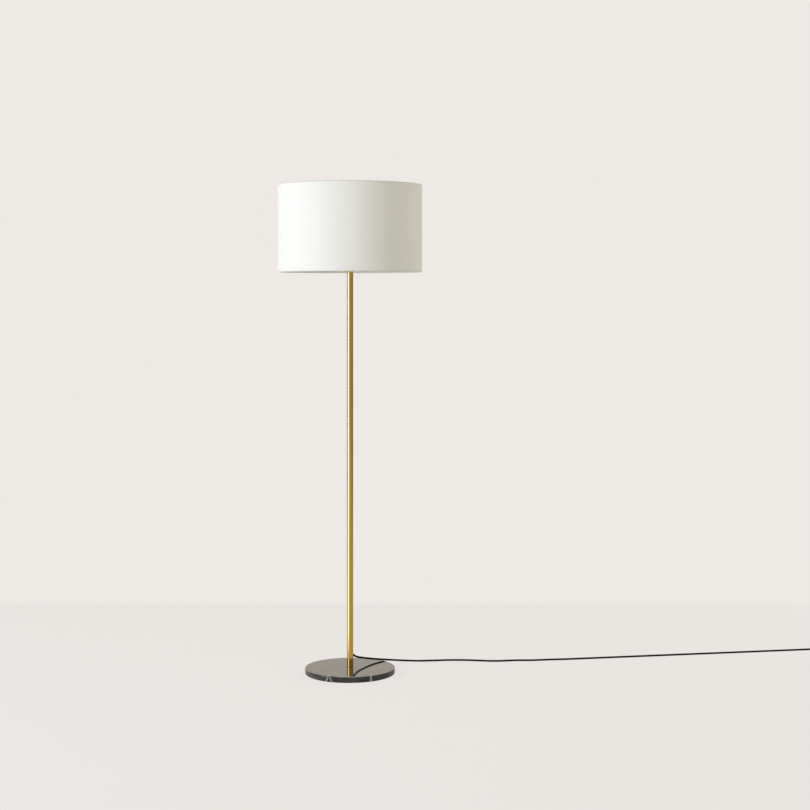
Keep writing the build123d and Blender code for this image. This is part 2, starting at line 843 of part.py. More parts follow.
def coil_point(turned_by):
    """Point on the coil's centre line after turning by an angle from its start."""
    half = coil_turn / 2
    radius = coil_outer_r - coil_pitch * (half - abs(turned_by - half)) / 360
    climbed = min(max((turned_by - half) / 180 + 0.5, 0), 1)
    layer = coil_layer_h * (0.5 - 0.5 * cos(pi * climbed))
    azimuth = coil_start_azimuth + turned_by
    return coil_centre + heading(azimuth) * radius + Vector(0, 0, layer + tie_lift(azimuth))


def coil_heading(turned_by):
    return (coil_point(turned_by + heading_step) - coil_point(turned_by - heading_step)).normalized()


def biarc(start, start_heading, end, end_heading):
    """Two arcs that leave the start and reach the end along the given headings."""
    span = end - start
    along = span.dot(start_heading + end_heading)
    spread = 2 * (1 - start_heading.dot(end_heading))
    reach = (sqrt(along**2 + spread * span.dot(span)) - along) / spread
    first = start + start_heading * reach
    second = end - end_heading * reach
    middle = (first + second) * 0.5
    TangentArc(start, middle, tangent=start_heading)
    TangentArc(middle, end, tangent=second - first)


def level_heading(azimuth):
    return heading(azimuth + 90)


coil_steps = round(coil_turn / 90)
stations = [coil_turn * step / coil_steps for step in range(coil_steps + 1)]
loop_points = [coil_point(station) for station in stations]
loop_headings = [coil_heading(station) for station in stations]
loop_headings[0] = level_heading(coil_start_azimuth)
loop_headings[-1] = level_heading(coil_end_azimuth)
coil_entry = loop_points[0] - loop_headings[0] * cord_d
coil_leave = loop_points[-1] + loop_headings[-1] * cord_d

with BuildPart() as cord_coil:
    with BuildLine() as coil_path:
        Line(coil_entry, loop_points[0])
        for index in range(coil_steps):
            biarc(
                loop_points[index],
                loop_headings[index],
                loop_points[index + 1],
                loop_headings[index + 1],
            )
        Line(loop_points[-1], coil_leave)
    with BuildSketch(Plane(coil_entry, z_dir=loop_headings[0])):
        Circle(cord_r)
    sweep(path=coil_path.line)
save(cord_coil, "cord_coil")

coil_wire = coil_path.wire()
sample_count = 120 * coil_whole_turns
coil_samples = [coil_wire.position_at(index / sample_count) for index in range(sample_count + 1)]
half_loop = round(sample_count / coil_whole_turns / 2)
least_gap = min(
    (a - b).length - cord_d
    for index, a in enumerate(coil_samples)
    for b in coil_samples[index + half_loop :]
)
print("cord_coil least gap to itself", round(least_gap, 2), "length", round(coil_wire.length))
print("cord_coil volume share", round(cord_coil.part.volume / (pi * cord_r**2 * coil_wire.length), 4))

# The cord's visible run: out of the boot, over the marble's edge, across the floor to the coil
run_points = [
    boot_tip,
    boot_tip + boot_heading * exit_run,
    Vector(39, 54, 35.5),
    Vector(70, 75, 28.5),
    Vector(104, 94, 24),
    Vector(150, 119, 17),
    Vector(200, 145, 9.5),
    Vector(247, 168, 4.4),
    Vector(296, 182.5, 3),
    Vector(352, 185.5, 3),
    Vector(400, 178.5, 3),
    Vector(448, 168.5, 3),
    Vector(492, 172, 3),
    Vector(532, 182, 3),
    Vector(580, 179.5, 3),
    Vector(630, 190.5, 3),
    Vector(690, 197, 3),
    coil_entry - loop_headings[0] * coil_run_in,
    coil_entry,
]
cord_run, run_length = cord_tube(run_points, "cord_run")
save(cord_run, "cord_run")

# Short lead from the top of the coil down to the plug, which lies beside it
plug_z = plug_t / 2
lead_points = [
    coil_leave,
    coil_leave + loop_headings[-1] * coil_run_out,
    Vector(1630, 394.5, 8.6),
    Vector(1636, 409, plug_z),
    Vector(1636, 423, plug_z),
]
plug_lead, lead_length = cord_tube(lead_points, "plug_lead")
save(plug_lead, "plug_lead")
print("cord length", round(run_length + coil_wire.length + lead_length))

# Tie: a strap looped round the turns where they lie on it
tie_turns = [
    tie_azimuth - coil_start_azimuth + 360 * index
    for index in range(-1, coil_whole_turns + 1)
    if 0 < tie_azimuth - coil_start_azimuth + 360 * index < coil_turn
]
tied = [upright_plane(tie_azimuth).to_local_coords(coil_point(turn) - coil_centre) for turn in tie_turns]
tie_in = min(point.X for point in tied) - cord_r - tie_clearance
tie_out = max(point.X for point in tied) + cord_r + tie_clearance
tie_top = max(point.Y for point in tied) + cord_d + tie_clearance
tie_plane = Plane(
    origin=(coil_centre.X, coil_centre.Y, 0), x_dir=heading(tie_azimuth), z_dir=heading(tie_azimuth - 90)
)
with BuildPart() as coil_tie:
    with BuildSketch(tie_plane):
        with Locations(((tie_in + tie_out) / 2, (tie_top + tie_t) / 2)):
            RectangleRounded(tie_out - tie_in + 2 * tie_t, tie_top + tie_t, cord_r)
        with Locations(((tie_in + tie_out) / 2, (tie_top + tie_t) / 2)):
            RectangleRounded(tie_out - tie_in, tie_top - tie_t, cord_r - tie_t, mode=Mode.SUBTRACT)
    extrude(amount=tie_w / 2, both=True)
save(coil_tie, "coil_tie")

# Plug: grooved relief, waisted flat body, two sleeved pins, all along +Y from the lead's end
plug_plane = Plane(lead_points[-1], x_dir=(1, 0, 0), z_dir=(0, 1, 0))
with BuildPart() as plug_relief:
    with BuildSketch(plug_plane):
        Circle(relief_tip_d / 2)
    with BuildSketch(plug_plane.offset(relief_l)):
        Circle(relief_root_d / 2)
    loft()
    for index in range(relief_grooves):
        along = relief_l * (index + 1) / (relief_grooves + 1)
        groove_r = (relief_tip_d + (relief_root_d - relief_tip_d) * along / relief_l) / 2
        with BuildSketch(plug_plane.offset(along - relief_groove_w / 2)):
            Circle(relief_root_d)
            Circle(groove_r - relief_groove_depth, mode=Mode.SUBTRACT)
        extrude(amount=relief_groove_w, mode=Mode.SUBTRACT)
save(plug_relief, "plug_relief")

plug_foot = Plane(lead_points[-1] + Vector(0, relief_l, -plug_z))
with BuildPart() as plug_body:
    with BuildSketch(plug_foot) as plug_outline:
        with BuildLine():
            right_side = Spline(
                (plug_rear_w / 2, 0),
                (plug_waist_w / 2, (plug_l - plug_head_l) / 2),
                (plug_w / 2, plug_l - plug_head_l),
                tangents=((0, 1), (0, 1)),
            )
            Line(right_side @ 1, (plug_w / 2, plug_l))
            Line((plug_w / 2, plug_l), (0, plug_l))
            mirror(about=Plane.YZ)
            Line((-plug_rear_w / 2, 0), (plug_rear_w / 2, 0))
        make_face()
        fillet(plug_outline.vertices().group_by(Axis.Y)[-1], radius=plug_corner_r)
    extrude(amount=plug_t)
    fillet(plug_body.edges().filter_by(Plane.XY), radius=plug_edge_r)
save(plug_body, "plug_body")

pin_plane = plug_plane.offset(relief_l + plug_l)
with BuildPart() as pin_sleeves:
    with BuildSketch(pin_plane):
        with GridLocations(pin_spacing, 1, 2, 1):
            Circle(pin_sleeve_d / 2)
    extrude(amount=pin_sleeve_l)
save(pin_sleeves, "pin_sleeves")

with BuildPart() as plug_pins:
    with BuildSketch(pin_plane.offset(pin_sleeve_l)):
        with GridLocations(pin_spacing, 1, 2, 1):
            Circle(pin_d / 2)
    extrude(amount=pin_l - pin_sleeve_l)
    chamfer(plug_pins.faces().group_by(Axis.Y)[-1].edges(), length=pin_tip_break)
save(plug_pins, "plug_pins")
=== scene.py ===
import bmesh
import bpy
import json
from functools import partial, reduce
from math import cos, pi, radians, sin, tau
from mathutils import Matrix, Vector


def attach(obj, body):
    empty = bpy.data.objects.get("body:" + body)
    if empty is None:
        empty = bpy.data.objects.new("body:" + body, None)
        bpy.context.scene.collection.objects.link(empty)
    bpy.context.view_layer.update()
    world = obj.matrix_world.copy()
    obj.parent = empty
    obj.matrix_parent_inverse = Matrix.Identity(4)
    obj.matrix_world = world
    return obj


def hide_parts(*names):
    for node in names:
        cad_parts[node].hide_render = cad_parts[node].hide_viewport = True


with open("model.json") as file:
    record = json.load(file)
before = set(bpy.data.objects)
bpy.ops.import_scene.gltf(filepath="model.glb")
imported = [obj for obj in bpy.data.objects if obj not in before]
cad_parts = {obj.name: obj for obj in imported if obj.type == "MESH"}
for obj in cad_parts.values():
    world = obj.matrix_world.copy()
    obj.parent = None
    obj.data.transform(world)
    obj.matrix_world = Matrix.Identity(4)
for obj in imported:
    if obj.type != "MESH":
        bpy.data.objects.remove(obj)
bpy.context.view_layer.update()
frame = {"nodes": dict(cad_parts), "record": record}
nodes = frame["nodes"]
print("frame loaded:", len(nodes), "nodes")

mm = 0.001


def toMetres(points):
    return [Vector(point) * mm for point in points]


def towards(azimuth):
    return Vector((cos(radians(azimuth)), sin(radians(azimuth)), 0))


# Camera: level, with the horizon kept high in the picture by a lens shift
camera = {
    "place": (0.1715, -5.380, 1.1738),
    "focalPixels": 1725.0,
    "imagePixels": 810.0,
    "horizonPixel": 297.0,
    "sensor": 36.0,
}


def addCamera():
    data = bpy.data.cameras.new("camera")
    data.sensor_width = camera["sensor"]
    data.lens = camera["sensor"] * camera["focalPixels"] / camera["imagePixels"]
    data.shift_y = (camera["horizonPixel"] - camera["imagePixels"] / 2) / camera["imagePixels"]
    obj = bpy.data.objects.new("camera", data)
    obj.location = camera["place"]
    obj.rotation_euler = (pi / 2, 0, 0)
    bpy.context.scene.collection.objects.link(obj)
    bpy.context.scene.camera = obj


addCamera()
bpy.context.scene.view_settings.view_transform = "Standard"


# Node helpers for materials, the world and geometry trees: a socket is linked, a value is set
def addNode(tree, kind, inputs=None, **settings):
    node = tree.nodes.new(kind)
    for key, value in settings.items():
        setattr(node, key, value)
    for key, value in (inputs or {}).items():
        if isinstance(value, bpy.types.NodeSocket):
            tree.links.new(value, node.inputs[key])
        else:
            node.inputs[key].default_value = value
    return node


def mathNode(tree, operation, *values):
    return addNode(tree, "ShaderNodeMath", dict(enumerate(values)), operation=operation).outputs[0]


def vectorNode(tree, operation, *values, output=0, **scale):
    inputs = {**dict(enumerate(values)), **scale}
    return addNode(tree, "ShaderNodeVectorMath", inputs, operation=operation).outputs[output]


def ramp(tree, value, low, high, start=0.0, end=1.0):
    inputs = {"Value": value, "From Min": low, "From Max": high, "To Min": start, "To Max": end}
    return addNode(tree, "ShaderNodeMapRange", inputs).outputs[0]


def axisOf(tree, place, axis):
    return addNode(tree, "ShaderNodeSeparateXYZ", {0: place}).outputs[axis]


def mixShaders(tree, share, first, second):
    return addNode(tree, "ShaderNodeMixShader", {0: share, 1: first, 2: second}).outputs[0]


def blendColours(tree, share, first, second):
    mix = addNode(tree, "ShaderNodeMix", data_type="RGBA")
    for socket, value in ((mix.inputs[0], share), (mix.inputs[6], first), (mix.inputs[7], second)):
        if isinstance(value, bpy.types.NodeSocket):
            tree.links.new(value, socket)
        elif isinstance(value, tuple):
            socket.default_value = (*value, 1)
        else:
            socket.default_value = value
    return mix.outputs[2]


# Room: a floor that ends where the wall begins, and a pale world in place of the wall
room = {
    "floorSize": 9.0,
    "wallY": 1.22,
    "wallColour": (0.855, 0.815, 0.779),
    "floorColour": (0.883, 0.859, 0.832),
    "shadowShare": 0.20,
    "farFloor": (2.0, 3.0),  # from here on the floor shows no shade
    "farDim": 0.955,
    "fillColour": (0.81, 0.785, 0.67),
    "fillFade": (0.0, 0.8),
    "fillAbove": 0.45,
}
# What polished surfaces show of the room: its sides, its wall and its floor
mirrored = {
    "pale": (0.50, 0.48, 0.45),
    "dark": (0.372, 0.336, 0.288),
    "acrossFade": (-0.25, 0.15),
    "besideFade": (-0.4, 0.0),
    "besideDim": 0.3,
    "wall": (0.95, 0.86, 0.74),
    "wallFade": (0.88, 0.97),
    "floorFade": (-0.35, 0.1),
    "floorLevels": (0.85, 0.50),
}
# Bright patches that only polished surfaces show: a window to the left and a light overhead
window = {
    "azimuth": 213.0,
    "inner": 0.9965,
    "outer": 0.970,
    "strength": 9.5,
    "heightFade": (0.1, 0.35),
    "onFloor": 5.5,
    "floorStart": (0.30, 0.75),
}
overhead = {"heightFade": (0.93, 0.97), "strength": 2.3}
lamps = {
    "key": {
        "place": (-3.64, -2.64, 1.5),
        "aim": (0.0, 0.0, 1.2),
        "size": (2.2, 2.8),
        "power": 123.0,
        "colour": (0.80, 0.865, 1.0),
    },
    "rim": {
        "place": (3.0, 1.4, 1.9),
        "aim": (0.0, 0.0, 1.2),
        "size": (1.6, 1.6),
        "power": 12.0,
        "colour": (1.0, 0.98, 0.94),
    },
}


def windowPatch(tree, direction):
    facing = towards(window["azimuth"])
    level = vectorNode(tree, "NORMALIZE", vectorNode(tree, "MULTIPLY", direction, (1, 1, 0)))
    share = vectorNode(tree, "DOT_PRODUCT", level, facing, output="Value")
    return ramp(tree, share, window["outer"], window["inner"])


def addBackground(tree, colour, strength):
    return addNode(tree, "ShaderNodeBackground", {"Color": colour, "Strength": strength}).outputs[0]


def addWorld():
    world = bpy.data.worlds.new("studio")
    bpy.context.scene.world = world
    world.use_nodes = True
    tree = world.node_tree
    tree.nodes.clear()
    path = addNode(tree, "ShaderNodeLightPath").outputs
    direction = addNode(tree, "ShaderNodeTexCoord").outputs["Generated"]
    axes = addNode(tree, "ShaderNodeSeparateXYZ", {0: direction}).outputs
    toDark = ramp(tree, axes["X"], *mirrored["acrossFade"])
    sides = blendColours(tree, toDark, mirrored["pale"], mirrored["dark"])
    beside = ramp(tree, axes["Y"], *mirrored["besideFade"], 0.0, mirrored["besideDim"])
    sides = blendColours(tree, beside, sides, (0.0, 0.0, 0.0))
    toWall = ramp(tree, axes["Y"], *mirrored["wallFade"])
    sides = blendColours(tree, toWall, sides, mirrored["wall"])
    low = ramp(tree, axes["Z"], *window["heightFade"], window["strength"], 0.0)
    above = ramp(tree, axes["Z"], *overhead["heightFade"], 0.0, overhead["strength"])
    bright = mathNode(tree, "MULTIPLY", windowPatch(tree, direction), low)
    bright = mathNode(tree, "ADD", bright, above)
    soft = ramp(tree, axes["Z"], *room["fillFade"], 1.0, room["fillAbove"])
    fill = addBackground(tree, (*room["fillColour"], 1), soft)
    seen = addBackground(tree, (*room["wallColour"], 1), 1.0)
    around = addBackground(tree, sides, 1.0)
    patches = addBackground(tree, (1, 1, 1, 1), bright)
    gloss = addNode(tree, "ShaderNodeAddShader", {0: around, 1: patches}).outputs[0]
    inGloss = mixShaders(tree, path["Is Glossy Ray"], fill, gloss)
    straight = mathNode(tree, "MAXIMUM", path["Is Camera Ray"], path["Is Transmission Ray"])
    shown = mixShaders(tree, straight, inGloss, seen)
    addNode(tree, "ShaderNodeOutputWorld", {"Surface": shown})


def addLamp(name, spec):
    data = bpy.data.lights.new(name, "AREA")
    data.energy = spec["power"]
    data.color = spec["colour"]
    data.shape = "RECTANGLE"
    data.size, data.size_y = spec["size"]
    obj = bpy.data.objects.new(name, data)
    obj.location = spec["place"]
    obj.rotation_euler = (Vector(spec["aim"]) - obj.location).to_track_quat("-Z", "Y").to_euler()
    obj.visible_glossy = False
    bpy.context.scene.collection.objects.link(obj)


def addFloor():
    half = room["floorSize"] / 2
    mesh = bpy.data.meshes.new("floor")
    back = room["wallY"]
    corners = [(-half, -2 * half, 0), (half, -2 * half, 0), (half, back, 0), (-half, back, 0)]
    mesh.from_pydata(corners, [], [(0, 1, 2, 3)])
    obj = bpy.data.objects.new("floor", mesh)
    bpy.context.scene.collection.objects.link(obj)
    material = bpy.data.materials.new("paleFloor")
    material.use_nodes = True
    tree = material.node_tree
    tree.nodes.clear()
    colour = (*room["floorColour"], 1)
    place = addNode(tree, "ShaderNodeTexCoord").outputs["Object"]
    across = axisOf(tree, place, "X")
    path = addNode(tree, "ShaderNodeLightPath").outputs
    away = vectorNode(tree, "LENGTH", place, output="Value")
    beyond = ramp(tree, away, *window["floorStart"])
    streak = mathNode(tree, "MULTIPLY", windowPatch(tree, place), beyond)
    level = ramp(tree, across, *mirrored["floorFade"], *mirrored["floorLevels"])
    level = mathNode(tree, "ADD", level, mathNode(tree, "MULTIPLY", streak, window["onFloor"]))
    inGloss = mathNode(tree, "MULTIPLY", path["Is Glossy Ray"], level)
    plain = ramp(tree, away, *room["farFloor"], 1.0, room["farDim"])
    plain = mathNode(tree, "MULTIPLY", path["Is Camera Ray"], plain)
    brightness = mathNode(tree, "ADD", plain, inGloss)
    matt = addNode(tree, "ShaderNodeBsdfDiffuse", {"Color": colour}).outputs[0]
    even = addNode(tree, "ShaderNodeEmission", {"Color": colour, "Strength": brightness}).outputs[0]
    direct = mathNode(tree, "MAXIMUM", path["Is Camera Ray"], path["Is Glossy Ray"])
    unshaded = ramp(tree, away, *room["farFloor"], 1 - room["shadowShare"], 1.0)
    share = mathNode(tree, "MULTIPLY", direct, unshaded)
    addNode(tree, "ShaderNodeOutputMaterial", {"Surface": mixShaders(tree, share, matt, even)})
    mesh.materials.append(material)


addWorld()
for lampName, lampSpec in lamps.items():
    addLamp(lampName, lampSpec)
addFloor()
print("camera, room and lamps placed")


# Finishes
def newFinish(name, **sockets):
    material = bpy.data.materials.new(name)
    material.use_nodes = True
    shader = material.node_tree.nodes["Principled BSDF"]
    for key, value in sockets.items():
        shader.inputs[key.replace("_", " ")].default_value = value
    return material, material.node_tree, shader


def placed(tree, scale=(1, 1, 1), turn=(0, 0, 0), source="Object"):
    where = addNode(tree, "ShaderNodeTexCoord").outputs[source]
    inputs = {"Vector": where, "Scale": scale, "Rotation": turn}
    return addNode(tree, "ShaderNodeMapping", inputs).outputs[0]


noiseSpan = (0.3, 0.7)  # most of what a noise gives lies between these


def noise(tree, where, scale=1.0, detail=3.0, roughness=0.5, distortion=0.0, output=0):
    settings = {"Scale": scale, "Detail": detail, "Roughness": roughness, "Distortion": distortion}
    return addNode(tree, "ShaderNodeTexNoise", {"Vector": where, **settings}).outputs[output]


def bump(tree, shader, height, distance, strength=1.0):
    inputs = {"Height": height, "Distance": distance, "Strength": strength}
    node = addNode(tree, "ShaderNodeBump", inputs)
    tree.links.new(node.outputs[0], shader.inputs["Normal"])


# Brass: drawn along the pole, and a little cloudy
brass = {
    "colours": ((0.84, 0.53, 0.155), (0.79, 0.49, 0.14)),
    "cloudScale": (18, 18, 5),
    "cloudRange": (0.35, 0.7),
    "drawnScale": (900, 900, 14),
    "roughness": (0.085, 0.120),
    "depth": 0.000002,
}


def satinBrass():
    material, tree, shader = newFinish("satinBrass", Metallic=1.0, Roughness=0.10)
    drawn = noise(tree, placed(tree, brass["drawnScale"]), detail=4.0, roughness=0.6)
    cloud = noise(tree, placed(tree, brass["cloudScale"]))
    colour = blendColours(tree, ramp(tree, cloud, *brass["cloudRange"]), *brass["colours"])
    tree.links.new(colour, shader.inputs["Base Color"])
    tree.links.new(ramp(tree, drawn, *noiseSpan, *brass["roughness"]), shader.inputs["Roughness"])
    bump(tree, shader, drawn, brass["depth"])
    return material


# Marble: near black, clouded, with pale veins and a painted highlight along the upper arris
marble = {
    "dark": (0.019, 0.019, 0.018),
    "cloud": (0.085, 0.082, 0.074),
    "cloudScale": 28.0,
    "cloudRange": (0.42, 0.85),
    "streakScale": (30, 55, 90),
    "streakTurn": (0.5, 0.4, 0.3),
    "streakRange": (0.5, 0.8),
    "streakShare": 0.5,
    "vein": (0.60, 0.59, 0.56),
    "veinCore": 0.6,  # share of its reach at which a vein is at its full strength
    "wanderNear": (60.0, 0.006),
    "wanderBroad": (13.0, 0.045),
    "breakScale": 130.0,
    "breakRange": (0.38, 0.56),
    "breakShare": (0.35, 1.0),
    # colour of the painted highlight along the upper arris
    "arris": (0.36, 0.36, 0.345),
    "arrisReach": 158.6,  # distance from the axis plus height, the same all over the arris
    "arrisFade": (0.25, 0.1),
    "arrisShare": (0.55, 0.95),
    "roughness": (0.05, 0.085),
}


def vein(through, width, reach, share=0.8, broad=False):
    return {"through": through, "width": width, "reach": reach, "share": share, "broad": broad}


# Each vein lies in the plane through three places (mm), and fades away from the first one
marbleVeins = [
    vein(((-66.5, -123.2, 9), (-61.5, -125.8, 19.5), (-50, -72.5, 20)), 3.8, 20),
    vein(((-53, -129.6, 8), (-57.6, -127.6, 16.5), (-66, -80, 15)), 3.2, 12, 0.75),
    vein(((-73.5, -119.2, 16), (-64, -124.5, 18.5), (-70, -90, 15)), 1.6, 14, 0.40),
    vein(((-55, -104, 20), (-62.5, -125.2, 19.5), (-57, -95, 4)), 2.6, 34, 0.35),
    vein(((67.6, -122.7, 12), (67.9, -122.5, 3), (76, -70, 20)), 3.8, 28, 1.0),
    vein(((62.5, -125.3, 2.6), (68.4, -122.2, 4.4), (60, -80, 3.6)), 2.6, 12),
    vein(((-120, -72, 10), (-132, -47, 17), (-100, -60, 20)), 2.2, 30, 0.22),
    vein(((-105, -92.6, 10), (-118, -75, 16), (-90, -70, 20)), 1.6, 26, 0.16),
    vein(((30, 80, 20), (-70, 50, 20), (10, 60, 4)), 1.3, 100, 0.30, broad=True),
    vein(((95, 10, 20), (60, 120, 20), (80, 10, 2)), 1.0, 90, 0.26, broad=True),
    vein(((-95, 30, 20), (-60, 125, 20), (-110, 30, 2)), 1.1, 80, 0.28, broad=True),
]


def wander(tree, where, scale, distance):
    loose = noise(tree, where, scale, detail=4.0, output="Color")
    pull = vectorNode(tree, "SUBTRACT", loose, (0.5, 0.5, 0.5))
    return vectorNode(tree, "ADD", where, vectorNode(tree, "SCALE", pull, Scale=distance))


def veinShare(tree, where, wandered, spec):
    first, second, third = toMetres(spec["through"])
    normal = (second - first).cross(third - first).normalized()
    line = vectorNode(tree, "DOT_PRODUCT", wandered, normal, output="Value")
    away = mathNode(tree, "ABSOLUTE", mathNode(tree, "SUBTRACT", line, normal.dot(first)))
    share = ramp(tree, away, spec["width"] * mm, 0.0, 0.0, spec["share"])
    reach = spec["reach"] * mm
    distance = vectorNode(tree, "DISTANCE", where, first, output="Value")
    fading = ramp(tree, distance, reach, reach * marble["veinCore"])
    return mathNode(tree, "MULTIPLY", share, fading)


def arrisShare(tree, where):
    level = vectorNode(tree, "MULTIPLY", where, (1, 1, 0))
    outwards = vectorNode(tree, "LENGTH", level, output="Value")
    reach = mathNode(tree, "ADD", outwards, axisOf(tree, where, "Z"))
    return ramp(tree, reach, *((marble["arrisReach"] - fade) * mm for fade in marble["arrisFade"]))


def blackMarble():
    material, tree, shader = newFinish("blackMarble", Roughness=0.06, IOR=1.5)
    where = placed(tree)
    near = wander(tree, where, *marble["wanderNear"])
    broad = wander(tree, where, *marble["wanderBroad"])
    veins = (veinShare(tree, where, broad if spec["broad"] else near, spec) for spec in marbleVeins)
    veins = reduce(partial(mathNode, tree, "MAXIMUM"), veins)
    rubbed = noise(tree, where, marble["breakScale"], detail=5.0, roughness=0.65)
    broken = ramp(tree, rubbed, *marble["breakRange"], *marble["breakShare"])
    clouds = noise(tree, near, marble["cloudScale"], detail=6.0, roughness=0.65)
    clouds = ramp(tree, clouds, *marble["cloudRange"])
    streaks = noise(tree, placed(tree, marble["streakScale"], marble["streakTurn"]), detail=4.0)
    streaks = ramp(tree, streaks, *marble["streakRange"], 0.0, marble["streakShare"])
    clouding = mathNode(tree, "MAXIMUM", clouds, streaks)
    ground = blendColours(tree, clouding, marble["dark"], marble["cloud"])
    colour = blendColours(tree, mathNode(tree, "MULTIPLY", veins, broken), ground, marble["vein"])
    # Painted highlight: the upper arris is coloured paler, broken up by noise, where the polished
    # edge would catch the light
    paintedArrisHighlight = ramp(tree, broken, *marble["breakShare"], *marble["arrisShare"])
    paintedArrisHighlight = mathNode(tree, "MULTIPLY", arrisShare(tree, where), paintedArrisHighlight)
    colour = blendColours(tree, paintedArrisHighlight, colour, marble["arris"])
    tree.links.new(colour, shader.inputs["Base Color"])
    tree.links.new(ramp(tree, clouds, 0.0, 1.0, *marble["roughness"]), shader.inputs["Roughness"])
    return material


# Woven goods: fine threads both ways, laid out in the piece's own flat measure
def addWeave(tree, **wave):
    bands = {key.replace("_", " "): value for key, value in wave.items()}
    bands["Vector"] = placed(tree, source="UV")
    return (
        addNode(tree, "ShaderNodeTexWave", bands, bands_direction=direction).outputs["Fac"]
        for direction in "XY"
    )


textile = {
    "colours": ((0.885, 0.877, 0.850), (0.85, 0.84, 0.808)),
    "threadScale": 520.0,
    "slubScale": (60, 2600, 1),
    "slubRange": (0.35, 0.75),
    "slubShare": 0.6,
    "depth": 0.00006,
    "strength": 0.6,
    # Painted shade: the cloth is darkened towards this colour in a band along both rims
    "rimColour": (0.45, 0.43, 0.37),
    "rimShade": 0.18,
    "rimWidth": (4.5, 3.0),
}


def shadeTextile():
    material, tree, shader = newFinish(
        "shadeTextile",
        Roughness=0.85,
        Specular_IOR_Level=0.15,
        Sheen_Weight=0.10,
        Sheen_Roughness=0.4,
    )
    scale = textile["threadScale"]
    warp, weft = addWeave(tree, Scale=scale, Distortion=0.6, Detail=2.0, Detail_Scale=0.02)
    slubs = noise(tree, placed(tree, textile["slubScale"], source="UV"), detail=2.0)
    uneven = mathNode(tree, "MULTIPLY", slubs, textile["slubShare"])
    height = mathNode(tree, "ADD", mathNode(tree, "MULTIPLY", warp, weft), uneven)
    colour = blendColours(tree, ramp(tree, slubs, *textile["slubRange"]), *textile["colours"])
    middle = (cover["bottom"] + cover["top"]) / 2 * mm
    half = (cover["top"] - cover["bottom"]) / 2 * mm
    fromMiddle = mathNode(tree, "SUBTRACT", axisOf(tree, placed(tree), "Z"), middle)
    # Painted shade along the top and bottom rims, standing in for the shadow under the rolled edge
    start, end = (half - width * mm for width in textile["rimWidth"])
    paintedRimShade = mathNode(tree, "ABSOLUTE", fromMiddle)
    paintedRimShade = ramp(tree, paintedRimShade, start, end, 0.0, textile["rimShade"])
    colour = blendColours(tree, paintedRimShade, colour, textile["rimColour"])
    tree.links.new(colour, shader.inputs["Base Color"])
    bump(tree, shader, height, textile["depth"], textile["strength"])
    return material


webbing = {
    "colours": ((0.006, 0.006, 0.007), (0.030, 0.030, 0.032)),
    "threadScale": 330.0,
    "weftShare": 0.8,
    "depth": 0.00025,
}


def wovenStrap():
    material, tree, shader = newFinish(
        "wovenStrap", Roughness=0.8, Sheen_Weight=0.3, Sheen_Roughness=0.5
    )
    warp, weft = addWeave(tree, Scale=webbing["threadScale"], Distortion=0.3, Detail=1.0)
    weft = mathNode(tree, "MULTIPLY", weft, webbing["weftShare"])
    weave = mathNode(tree, "MAXIMUM", warp, weft)
    tree.links.new(blendColours(tree, weave, *webbing["colours"]), shader.inputs["Base Color"])
    bump(tree, shader, weave, webbing["depth"])
    return material


felt = {
    "colours": ((0.020, 0.020, 0.021), (0.060, 0.060, 0.062)),
    "fibreScale": 1400.0,
    "fibreRange": (0.35, 0.7),
    "depth": 0.0003,
}


def feltFinish():
    material, tree, shader = newFinish(
        "pressedFelt", Roughness=0.95, Sheen_Weight=0.4, Sheen_Roughness=0.6
    )
    fibre = noise(tree, placed(tree), felt["fibreScale"], detail=5.0, roughness=0.7, distortion=1.5)
    colour = blendColours(tree, ramp(tree, fibre, *felt["fibreRange"]), *felt["colours"])
    tree.links.new(colour, shader.inputs["Base Color"])
    bump(tree, shader, fibre, felt["depth"])
    return material


liner = {
    "colour": (0.88, 0.87, 0.84),
    "waveScale": (12, 12, 40),
    "roughness": (0.38, 0.52),
    "grainScale": 1800.0,
    "depth": 0.00002,
}


def linerSheet():
    material, tree, shader = newFinish(
        "linerSheet", Base_Color=(*liner["colour"], 1), Roughness=0.45
    )
    waves = noise(tree, placed(tree, liner["waveScale"]), detail=2.0)
    tree.links.new(ramp(tree, waves, *noiseSpan, *liner["roughness"]), shader.inputs["Roughness"])
    grain = noise(tree, placed(tree), liner["grainScale"], detail=2.0)
    bump(tree, shader, grain, liner["depth"])
    return material


opal = {
    "colours": ((0.93, 0.92, 0.89), (0.90, 0.89, 0.86)),
    "frostScale": 3000.0,
    "roughness": (0.30, 0.42),
}


def opalGlobe():
    material, tree, shader = newFinish("opalGlobe", Roughness=0.35)
    frost = noise(tree, placed(tree), opal["frostScale"], detail=2.0)
    colour = blendColours(tree, ramp(tree, frost, *noiseSpan), *opal["colours"])
    tree.links.new(colour, shader.inputs["Base Color"])
    tree.links.new(ramp(tree, frost, *noiseSpan, *opal["roughness"]), shader.inputs["Roughness"])
    return material


moulding = {"grainScale": 2200.0, "wearScale": 90.0, "wear": 0.06}


def mouldedPlastic(name, colour, roughness, grain=0.00003, gloss=0.5):
    material, tree, shader = newFinish(
        name, Base_Color=(*colour, 1), Roughness=roughness, Specular_IOR_Level=gloss
    )
    speckle = noise(tree, placed(tree), moulding["grainScale"], detail=2.0)
    rubbed = noise(tree, placed(tree), moulding["wearScale"])
    low, high = roughness - moulding["wear"], roughness + moulding["wear"]
    tree.links.new(ramp(tree, rubbed, *noiseSpan, low, high), shader.inputs["Roughness"])
    bump(tree, shader, speckle, grain)
    return material


plating = {"grainScale": (300, 300, 300), "smoother": 0.07, "rougher": 0.10, "depth": 0.00001}


def platedMetal(name, colour, roughness):
    material, tree, shader = newFinish(
        name, Metallic=1.0, Base_Color=(*colour, 1), Roughness=roughness
    )
    grainy = noise(tree, placed(tree, plating["grainScale"]), detail=4.0, roughness=0.6)
    low, high = roughness - plating["smoother"], roughness + plating["rougher"]
    tree.links.new(ramp(tree, grainy, *noiseSpan, low, high), shader.inputs["Roughness"])
    bump(tree, shader, grainy, plating["depth"])
    return material


